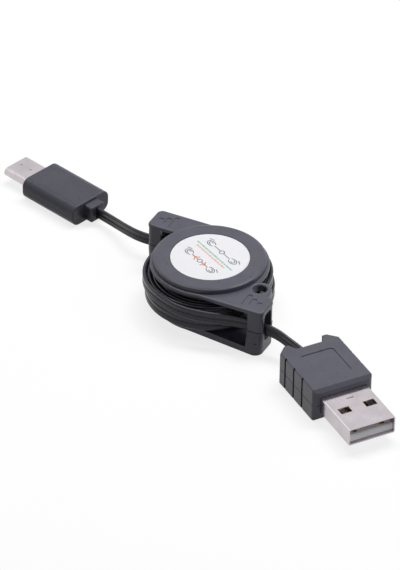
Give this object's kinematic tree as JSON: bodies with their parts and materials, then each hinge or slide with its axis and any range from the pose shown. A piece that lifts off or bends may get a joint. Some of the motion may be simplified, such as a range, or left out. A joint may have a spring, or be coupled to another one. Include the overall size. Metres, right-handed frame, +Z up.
{
  "type": "retractable charging cable",
  "caption": "Two-ended pocket reel with a sprung spool of flat ribbon cable, a wide plug at one end and a small oval plug at the other.",
  "frame": {"origin": "centre of the reel's underside, on the table", "axes": "+X along the reel's pull axis towards the wide plug's ear, +Z up the spool's axis"},
  "size_m": [0.1286, 0.0673, 0.013],
  "materials": {
    "case_plastic": "satin",
    "spool_plastic": "satin",
    "ribbon": "satin",
    "label": "printed paper film",
    "nickel": "bright nickel plate",
    "steel": "plain",
    "pale_plastic": "matt",
    "dark_plastic": "matt",
    "gilt": "gold flash",
    "wire_jacket": "matt",
    "board": "solder mask",
    "chip": "matt"
  },
  "bodies": {
    "housing": {"upper_cover": "case_plastic", "lower_cover": "case_plastic", "label": "label", "axle_screw": "steel"},
    "spool": {"spool": "spool_plastic", "clock_spring": "steel", "upper_winding": "ribbon", "lower_winding": "ribbon"},
    "ratchet_ball": {"ratchet_ball": "steel"},
    "wide_plug": {"front_tail": "ribbon", "plug_a_upper_case": "case_plastic", "plug_a_lower_case": "case_plastic", "plug_a_shell": "nickel", "plug_a_insert": "pale_plastic", "plug_a_contacts": "gilt", "plug_a_wires": "wire_jacket"},
    "small_plug": {"rear_tail": "ribbon", "plug_c_case": "case_plastic", "plug_c_boot": "case_plastic", "plug_c_shell": "nickel", "plug_c_insulator": "dark_plastic", "plug_c_contacts": "gilt", "plug_c_latches": "nickel", "plug_c_board": "board", "plug_c_resistor": "chip", "plug_c_wires": "wire_jacket"}
  },
  "joints": [
    {"name": "spool_spin", "type": "hinge", "parent": "housing", "child": "spool", "pos_m": [0, 0, 0.0065], "axis": [0, 0, 1], "range_deg": [0, 1440], "stiffness_Nm_per_rad": 0.0008, "springref_deg": -1432.39, "deforming": ["clock_spring"]},
    {"name": "wide_plug_pull", "type": "slide", "parent": "housing", "child": "wide_plug", "axis": [0.8059, -0.592, 0], "range_m": [0, 0.3268], "deforming": ["front_tail"]},
    {"name": "small_plug_pull", "type": "slide", "parent": "housing", "child": "small_plug", "axis": [-0.9553, 0.2957, 0], "range_m": [0, 0.3268], "deforming": ["rear_tail"]},
    {"name": "ball_shift", "type": "slide", "parent": "housing", "child": "ratchet_ball", "axis": [0, 1, 0], "range_m": [0, 0.0027]}
  ],
  "couplings": [
    {"joint": "wide_plug_pull", "follows": "spool_spin", "m_per_rad": 0.013},
    {"joint": "small_plug_pull", "follows": "spool_spin", "m_per_rad": 0.013}
  ]
}
